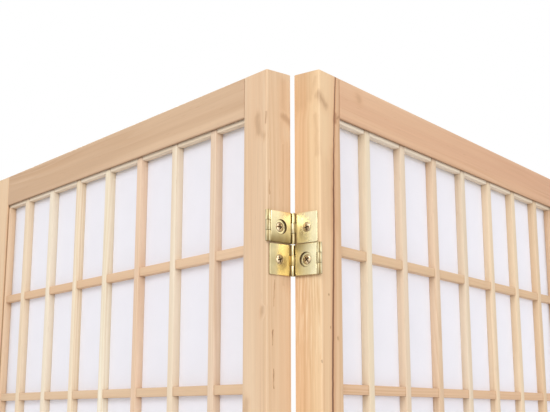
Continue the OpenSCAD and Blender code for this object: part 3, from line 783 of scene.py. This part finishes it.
for number, side in enumerate(("left", "right")):
    seed = 1000 * (number + 1)
    x0, x1, z0, z1 = LAT_X, LAT_X + LAT_W, LAT_Z, LAT_Z + LAT_H
    for k, (name, z) in enumerate(zip(("bottom_border", "top_border"), END_BORDERS)):
        make_bars(f"{side}_lattice_{name}", side, "lattice_wood", [
            cross_bar(x0, x1, z, z + BORDER_W, seed + k, (PALE_CREAM, PALE_CREAM))])
    for k, (name, x) in enumerate((("hinge_border", x0), ("outer_border", x1 - BORDER_W))):
        bar = plain_bar(
            x, x + BORDER_W, LAT_Y, LAT_BACK_Y, z0 + BORDER_W, z1 - BORDER_W, "z", seed + 4 + k)
        make_bars(f"{side}_lattice_{name}", side, "lattice_wood", [bar])
    make_bars(f"{side}_lattice_uprights", side, "lattice_wood", [
        upright_bar(x, seed + 20 + i, UPRIGHT_TONES[side][i]) for i, x in enumerate(UPRIGHTS)])
    make_bars(f"{side}_lattice_crossbars", side, "lattice_wood", [
        cross_bar(x0 + BORDER_W, x1 - BORDER_W, z - BAR_W / 2, z + BAR_W / 2, seed + 40 + i, TAN)
        for i, z in enumerate(CROSSBARS)])
    y0, y1 = LAT_BACK_Y + PAPER_T, LAT_BACK_Y + PAPER_T + BATTEN_D
    end = BATTEN_W + BATTEN_GAP
    battens = {
        "top_batten": (x0, x1, z1 - BATTEN_W, z1, "x"),
        "bottom_batten": (x0, x1, z0, z0 + BATTEN_W, "x"),
        "hinge_side_batten": (x0, x0 + BATTEN_W, z0 + end, z1 - end, "z"),
        "outer_side_batten": (x1 - BATTEN_W, x1, z0 + end, z1 - end, "z")}
    for k, (name, (a, b, c, d, axis)) in enumerate(battens.items()):
        bar = plain_bar(a, b, y0, y1, c, d, axis, seed + 80 + k, BOARD_EASE)
        make_bars(f"{side}_{name}", side, "frame_wood", [bar])


def across_paper(low, size, bars, steps):
    """Along one axis of the paper: the places of its points, the cell that each lies in, and the
    share of that cell that lies before it, from 0 to 1."""
    inner = np.repeat(bars, 2) + np.tile([-1, 1], len(bars)) * BAR_W / 2
    cells = np.concatenate([[low + BORDER_W], inner, [low + size - BORDER_W]]).reshape(-1, 2)
    runs = [np.linspace(a, b, steps + 1) for a, b in cells]
    places = np.concatenate([[low + PAPER_MARGIN], *runs, [low + size - PAPER_MARGIN]])
    cell = np.clip(np.searchsorted(cells[:, 0], places, side="right") - 1, 0, len(cells) - 1)
    share = (places - cells[cell, 0]) / (cells[cell, 1] - cells[cell, 0])
    return places, cell, np.clip(share, 0, 1)


def paper_sheet(side, seed):
    """The sheet lies against the back of the bars. Between them it stands back by a fraction of a
    millimetre: a product of two squared sines over each cell, whose depth differs from cell to
    cell."""
    luck = np.random.default_rng(seed)
    xs, cx, sx = across_paper(LAT_X, LAT_W, UPRIGHTS, 6)
    zs, cz, sz = across_paper(LAT_Z, LAT_H, CROSSBARS, 8)
    depth = luck.uniform(0.00002, 0.00022, (len(CROSSBARS) + 1, len(UPRIGHTS) + 1))
    back = depth[np.ix_(cz, cx)] * np.sin(math.pi * sz)[:, None] ** 2 * np.sin(math.pi * sx) ** 2
    gx, gz = np.meshgrid(xs, zs)
    front = np.stack([gx, LAT_BACK_Y + back, gz], 2)
    rear = front + [0, PAPER_T, 0]
    nz, nx = gx.shape
    points = np.concatenate([front.reshape(-1, 3), rear.reshape(-1, 3)])
    i, j = np.meshgrid(np.arange(nz - 1), np.arange(nx - 1), indexing="ij")
    a = (i * nx + j).ravel()
    quads = np.stack([a, a + 1, a + nx + 1, a + nx], 1)
    shift = nz * nx
    rim = np.concatenate([np.arange(nx), np.arange(1, nz) * nx + nx - 1,
                          (nz - 1) * nx + np.arange(nx - 2, -1, -1), np.arange(nz - 2, 0, -1) * nx])
    nxt = np.roll(rim, -1)
    sides = np.stack([nxt, rim, rim + shift, nxt + shift], 1)
    faces = np.concatenate([quads, quads[:, ::-1] + shift, sides]).tolist()
    sheet = make(f"{side}_paper_sheet", (points, faces), side, f"{side}_panel", "paper",
                 paper_white, [f"{side}_paper"], smooth=60)


paper_sheet("left", 71)
paper_sheet("right", 72)


# Hinges


def plate(y0, y1, z0, z1, x_front, x_back, hole_front, hole_back, between):
    """A flat plate with a round hole: at each angle the cross-section runs from the hole's front
    edge over the front face, with more circles of the radii between, round the eased outer edge
    and back along the rear face to the hole. The outline is a rectangle with small round
    corners."""
    cy, cz = (y0 + y1) / 2, (z0 + z1) / 2
    outline = eased(y0 - cy, y1 - cy, z0 - cz, z1 - cz, PLATE_CORNER_R, 5)
    nxt = np.roll(outline, -1, 0)
    gaps = np.linalg.norm(nxt - outline, axis=1)
    counts = np.maximum(1, np.round(gaps / PLATE_CELL)).astype(int)
    outline = np.concatenate([a + (b - a) * np.linspace(0, 1, c, endpoint=False)[:, None]
                              for a, b, c in zip(outline, nxt, counts)])
    unit = outline / np.linalg.norm(outline, axis=1)[:, None]
    half = np.array([(y1 - y0) / 2, (z1 - z0) / 2])
    drawn = outline * (half - PLATE_EASE) / half
    rim = unit * (hole_front + HOLE_LIP)
    rows = [
        (rim, x_front), *[(unit * r, x_front) for r in between],
        (rim * 0.3 + drawn * 0.7, x_front), (rim * 0.08 + drawn * 0.92, x_front),
        (drawn, x_front), (outline * 0.6 + drawn * 0.4, x_front + PLATE_EASE * 0.3),
        (outline, x_front + PLATE_EASE), (outline, x_back - PLATE_EASE), (drawn, x_back),
        (unit * (hole_back + HOLE_LIP), x_back), (unit * hole_back, x_back - HOLE_LIP),
        (unit * hole_front, x_front + HOLE_LIP)]
    loops = [np.column_stack([np.full(len(p), x), p[:, 0] + cy, p[:, 1] + cz]) for p, x in rows]
    points, faces = closed_loops(np.stack(loops, 1))
    return points, [f[::-1] for f in faces]


def curl(path, z0, z1):
    """A sheet edge rolled round a pin: the centreline path is offset by half the thickness to both
    sides, which gives a closed outline, and that is carried from z0 to z1 with its ends eased."""
    path = np.asarray(path)
    along = np.gradient(path, axis=0)
    along /= np.linalg.norm(along, axis=1)[:, None]
    side_way = np.stack([-along[:, 1], along[:, 0]], 1)
    rings = []
    for z, by in drawn_ends(z0, z1, CURL_EASE):
        half = side_way * (ROLL_T / 2 - by)
        outline = np.concatenate([path - half, (path + half)[::-1]])
        rings.append(np.column_stack([outline, np.full(len(outline), z)]))
    return rings_solid(rings)


def leaf_shape(knuckle_y, toward, z):
    """A leaf: the screwed plate and, in its middle third, the tongue rolled round the pin. The roll
    starts along the wood, goes round outside and ends near the plate again. toward is +1 or -1 and
    leads from the pin to the plate."""
    a, b = sorted(knuckle_y + toward * away for away in (CLEAR_Y, -FRONT_AXIS_Y - CLEAR_Y))
    flat = plate(a, b, z, z + HALF_H, END_X - PLATE_T, END_X, HEAD_R, SHANK_R + CONE_FOOT,
                 (0.0036, 0.0042, WINDOW_R - 0.0001, WINDOW_R + 0.0004))
    strap = np.array([[END_X - PLATE_T / 2, knuckle_y + toward * (CLEAR_Y + STRAP_LAP)],
                      [END_X - PLATE_T / 2, knuckle_y + toward * CLEAR_Y * 0.5]])
    roll = on_circle((0, knuckle_y), ROLL_R, np.linspace(0, -toward * math.radians(318), 30))
    low = z + KNUCKLE_H + SPLIT
    tongue = curl(np.concatenate([strap, roll]), low, low + KNUCKLE_H)
    return together([flat, oriented(tongue)])


def bent(p0, d0, p1, d1, count=9):
    """A cubic curve from p0 along d0 to p1 along d1."""
    t = np.linspace(0, 1, count)[:, None]
    h = [2 * t**3 - 3 * t**2 + 1, t**3 - 2 * t**2 + t, -2 * t**3 + 3 * t**2, t**3 - t**2]
    return h[0] * p0 + h[1] * d0 + h[2] * p1 + h[3] * d1


def middle_plate_shape(z):
    """The plate between both pins: its top and bottom thirds are rolled round the pins, and its
    round window leaves the hidden screw free."""
    flat = plate(FRONT_AXIS_Y + CLEAR_Y, -CLEAR_Y, z, z + HALF_H, -PLATE_T / 2, PLATE_T / 2,
                 WINDOW_R, WINDOW_R, (WINDOW_R + 0.0004, WINDOW_R + 0.0010))
    start, end, pull = math.radians(-40), math.radians(-40) + math.radians(262), 0.0016
    meet = np.array([ROLL_R * math.cos(start), ROLL_R * math.sin(start)])
    slope = np.array([-math.sin(start), math.cos(start)])
    joggle = bent(np.array([0.0, -CLEAR_Y - STRAP_LAP]), np.array([0, pull]), meet, slope * pull)
    roll = on_circle((0, 0), ROLL_R, np.linspace(start, end, 26))
    path = np.concatenate([joggle[:-1], roll])
    curls = [oriented(curl(path * [1, way] + [0, axis], low, low + KNUCKLE_H))
             for axis, way in ((FRONT_AXIS_Y, -1), (0.0, 1))
             for low in (z, z + HALF_H - KNUCKLE_H)]
    return together([flat, *curls])


def pin_shape(y, z, sides=24):
    """A pin with both ends rounded over: radius and height of its outline, turned about its
    axis."""
    share, rise = np.array([(0.15, 0), (0.6, 0.00003), (0.9, 0.00014), (1, 0.00035)]).T
    r = PIN_R * np.concatenate([share, share[::-1]])[:, None]
    h = np.concatenate([rise, HALF_H - rise[::-1]])[:, None]
    t = np.linspace(0, TURN, sides, endpoint=False)
    return rings_solid(np.stack([r * np.cos(t), r * np.sin(t) + y, h + z + 0 * t], 2))


def screw_shape(z, turn, sides=96):
    """A raised countersunk screw, with its painted shade: the top is a spherical cap from which a
    cross is pressed, its walls a smooth step of the distance from two bars; below come the cone and
    the shank."""
    t = np.linspace(0, TURN, sides, endpoint=False)
    radii = HEAD_R * np.array([
        0.02, 0.08, 0.14, 0.2, 0.26, 0.32, 0.38, 0.44, 0.5, 0.55, 0.6, 0.66, 0.74, 0.84, 0.93, 0.98,
        1.0])
    r, a = np.meshgrid(radii, t, indexing="ij")
    dome_r = (HEAD_R**2 + DOME_H**2) / (2 * DOME_H)
    height = np.sqrt(dome_r**2 - r**2) - (dome_r - DOME_H)
    u, v = np.abs(r * np.cos(a - turn)), np.abs(r * np.sin(a - turn))
    bars = np.minimum(np.maximum(u - CROSS_W, v - CROSS_L), np.maximum(v - CROSS_W, u - CROSS_L))
    inside = np.clip(-bars / CROSS_WALL + 0.35, 0, 1)
    inside = inside * inside * (3 - 2 * inside)
    depth = 0.00105 - 0.35 * r / HEAD_R * 0.001
    height = height - inside * depth
    height[-1] -= 0.00004
    top = np.stack([-height, r * np.cos(a), r * np.sin(a)], 2)
    below = [np.stack([np.full(sides, x), radius * np.cos(t), radius * np.sin(t)], 1)
             for radius, x in (
                 (HEAD_R, 0.00008), (SHANK_R + CONE_FOOT, PLATE_T), (SHANK_R, PLATE_T + 0.0003),
                 (SHANK_R, 0.010), (SHANK_R * 0.5, 0.0135), (SHANK_R * 0.1, PLATE_T + SHANK_L))]
    middle = [END_X - PLATE_T, FRONT_AXIS_Y / 2, z + HALF_H / 2]
    rings = np.concatenate([top, np.array(below)]) + middle
    # Painted shade: half under the head, dark in the cross recess and in a ring round the rim
    grime = np.full(rings.shape[:2], 0.5)
    grime[:len(radii)] = np.clip(inside * 1.5 - 0.2, 0, 0.9)
    grime[len(radii) - 2:len(radii)] = [[0.35], [0.85]]
    return oriented(rings_solid(rings)), grime.ravel()


# How dull the painted reflection of each plate is at places from the front pin (0) to the back
# pin (1), then how much duller it is at the bottom than at the top
PAINTED_REFLECTION = {
    "upper_middle_plate": ((0, 0.5, 1), (0.42, 0.46, 0.50), 0.85),
    "right_upper_leaf": ((0, 0.5, 1), (0.06, 0.08, 0.22), 0.10),
    "left_lower_leaf": ((0, 0.32, 0.45, 0.85, 1), (0.66, 0.52, 0.02, 0.0, 0.30), -0.06),
    "lower_middle_plate": ((0, 0.12, 0.5, 0.75, 1), (0.02, 0.05, 0.42, 0.72, 0.76), 0.04),
    "left_upper_leaf": ((0, 1), (0.20, 0.10), 0.20),
    "right_lower_leaf": ((0, 1), (0.20, 0.45), 0.10)}

# How yellow three of them are at the places 0.3, 0.5 and 1, and how much more at the bottom
GOLD = {"left_lower_leaf": ((0.05, 0.60, 0.55), 0.1), "right_upper_leaf": ((0, 0, 0.08), 0.1),
        "upper_middle_plate": ((0.1, 0.15, 0.25), -0.15)}


def brass_fields(points, name, z):
    """Painted reflection, dirt with painted shade, and gold of one leaf or plate. Knuckles get
    painted reflection streaks, a wave of the angle round the pin. Dirt and painted shade sit on cut
    edges, in the window, round the screw and beside the pins."""
    x, y, h = points[:, 0], points[:, 1], (points[:, 2] - z) / HALF_H
    across = (y - FRONT_AXIS_Y) / -FRONT_AXIS_Y
    places, values, tilt = PAINTED_REFLECTION[name]
    painted_reflection = np.interp(across, places, values) + tilt * (0.5 - h)
    off_face = np.abs(x - (-PLATE_T / 2 if "middle" in name else END_X - PLATE_T))
    on_face = off_face < 0.00005
    # Dirt and painted shade on cut edges and the rear
    grime = np.where(off_face > 0.00012, 0.55, 0.0)
    far = np.hypot(y - FRONT_AXIS_Y / 2, points[:, 2] - z - HALF_H / 2)
    # Painted shade along the bottom of the upper middle plate
    if name == "upper_middle_plate":
        grime = np.maximum(grime, np.interp(h, [0.02, 0.16, 0.34], [0.42, 0.26, 0.0]))
    # Painted shade on the window's wall, with a lighter ring beside it
    if "middle" in name:
        grime = np.where(far < WINDOW_R + 0.00005, 0.95, grime)
        grime = np.where(np.abs(far - WINDOW_R - 0.0001) < 0.00004, 0.35, grime)
    # Painted shade on the leaf under the window's rim, with a pale ring between, and round the
    # screw heads
    elif name in ("left_upper_leaf", "right_lower_leaf"):
        under = np.interp(far, [0.0030, 0.0031, 0.0036, 0.0042, 0.0047], [0.8, 0.55, 0, 0.08, 0.7])
        grime = np.where(on_face & (far < 0.0053), under, grime)
    else:
        grime = np.where(on_face & (far < 0.0032), 0.45, grime)
    for axis, plate_way in ((FRONT_AXIS_Y, 1), (0.0, -1)):
        knuckle = np.abs(y - axis) < CLEAR_Y - 0.00002
        angle = np.arctan2(x, (y - axis) * plate_way)
        # Painted reflection on the knuckles: bright and dark streaks following the angle round the
        # pin
        wave = plate_way * np.cos(4 * angle + 2.7 * plate_way)
        painted_reflection = np.where(knuckle, 0.44 + 0.50 * wave, painted_reflection)
        # Painted shade on the knuckle where it faces the plate
        corner_shade = np.clip((np.cos(angle) - 0.58) * 1.5, 0, 0.46)
        grime = np.where(knuckle, np.maximum(corner_shade, 0.34 * wave), grime)
        # Painted shade at the splits between knuckles
        third = (h * HALF_H / KNUCKLE_H) % 1.0
        knuckle_end = knuckle & ((third < 0.06) | (third > 0.97))
        grime = np.where(knuckle_end, np.maximum(grime, 0.45), grime)
    yellow, tilt = GOLD.get(name, ((0, 0, 0), 0))
    gold = np.interp(across, (0.3, 0.5, 1), yellow) + tilt * (0.5 - h)
    return {"painted_reflection": painted_reflection, "grime": grime, "gold": np.clip(gold, 0, 1)}


screws = {"left": [], "right": []}
luck = np.random.default_rng(5)
for name, z in HINGES.items():
    up = z + UPPER_LIFT
    for part, side, body, shape, low in (
        ("left_upper_leaf", "left", "left_panel", leaf_shape(FRONT_AXIS_Y, 1, up), up),
        ("right_upper_leaf", "right", "right_panel", leaf_shape(0.0, -1, up), up),
        ("upper_middle_plate", "left", "upper_plates", middle_plate_shape(up), up),
        ("left_lower_leaf", "left", "left_panel", leaf_shape(0.0, -1, z), z),
        ("right_lower_leaf", "right", "right_panel", leaf_shape(FRONT_AXIS_Y, 1, z), z),
        ("lower_middle_plate", "right", "lower_plates", middle_plate_shape(z), z)):
        node = f"{name}_hinge_{part}"
        make(f"{node}_brass", shape, side, body, "brass", brass, [node],
             **brass_fields(shape[0], part, low))
    for side in screws:
        screws[side] += [screw_shape(h, luck.uniform(0, TURN)) for h in (z, up)]
for side, shapes in screws.items():
    shape = together([s for s, _ in shapes])
    make(f"{side}_hinge_screws_turned", shape, side, f"{side}_panel", "screw_steel", screw_steel,
         [f"{side}_hinge_screws"], smooth=50, grime=np.concatenate([g for _, g in shapes]))
for node, side, body, y, lift in (
    ("left_front_hinge_pins", "left", "upper_plates", FRONT_AXIS_Y, UPPER_LIFT),
    ("upper_back_hinge_pins", "left", "upper_plates", 0.0, UPPER_LIFT),
    ("lower_back_hinge_pins", "right", "lower_plates", 0.0, 0.0),
    ("right_front_hinge_pins", "right", "lower_plates", FRONT_AXIS_Y, 0.0)):
    shape = together([pin_shape(y, z + lift) for z in HINGES.values()])
    make(f"{node}_turned", shape, side, body, "brass", pin_brass, [node])

# Small hidden pieces keep their solids
for side in ("left", "right"):
    for name, material in (("batten_brads", brad_steel), ("corner_dowels", dowel_wood)):
        node = frame["nodes"][f"{side}_{name}"]
        node.data.materials.clear()
        node.data.materials.append(material)


# Studio


def floor():
    """A pale square floor at the feet of the screen."""
    half, z = 9, -0.0005
    corners = [(-half, -half, z), (half, -half, z), (half, half, z), (-half, half, z)]
    mesh = bpy.data.meshes.new("floor")
    mesh.from_pydata(corners, [], [(0, 1, 2, 3)])
    mesh.materials.append(floor_finish())
    plane = bpy.data.objects.new("floor", mesh)
    bpy.context.scene.collection.objects.link(plane)
    plane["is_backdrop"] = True


def lamp(name, location, size, power):
    """A square soft lamp that faces the middle of the screen, 1 m above the floor."""
    data = bpy.data.lights.new(name, "AREA")
    data.shape, data.size, data.energy = "SQUARE", size, power
    thing = bpy.data.objects.new(name, data)
    bpy.context.scene.collection.objects.link(thing)
    thing.location = location
    x, y, z = np.subtract((0, 0, 1.0), location)
    thing.rotation_euler = (math.atan2(math.hypot(x, y), -z), 0, math.atan2(x, -y) + math.pi)


def surroundings():
    """White where the camera, a gloss or a clear piece sees it, and a softer white as light."""
    world = bpy.data.worlds.new("studio")
    bpy.context.scene.world = world
    world.use_nodes = True
    nodes, links = world.node_tree.nodes, world.node_tree.links
    path = nodes.new("ShaderNodeLightPath")
    seen = path.outputs["Is Camera Ray"]
    for kind in ("Is Glossy Ray", "Is Transmission Ray"):
        either = nodes.new("ShaderNodeMath")
        either.operation = "MAXIMUM"
        links.new(seen, either.inputs[0])
        links.new(path.outputs[kind], either.inputs[1])
        seen = either.outputs[0]
    strength, back = nodes.new("ShaderNodeMapRange"), nodes["Background"]
    strength.inputs["To Min"].default_value = 0.55
    links.new(seen, strength.inputs["Value"])
    links.new(strength.outputs[0], back.inputs["Strength"])
    back.inputs["Color"].default_value = (1, 1, 1, 1)


floor()
surroundings()
lamp("key_lamp", (-1.6, -3.2, 3.4), 2.2, 79)
lamp("fill_lamp", (2.4, -2.6, 2.4), 2.2, 41)
lamp("back_lamp", (-1.1, 3.3, 3.0), 2.4, 104)

# The camera, as it was fitted to the edges in the photograph
camera_data = bpy.data.cameras.new("camera")
camera_data.sensor_width, camera_data.lens = 36.0, 64.675
camera = bpy.data.objects.new("camera", camera_data)
bpy.context.scene.collection.objects.link(camera)
camera.location = (-0.023138, -0.775617, 1.478633)
camera.rotation_euler = (math.radians(90 + 11.996), 0, math.radians(-1.0758))
bpy.context.scene.camera = camera

bpy.context.scene.view_settings.view_transform = "Standard"

low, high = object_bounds()
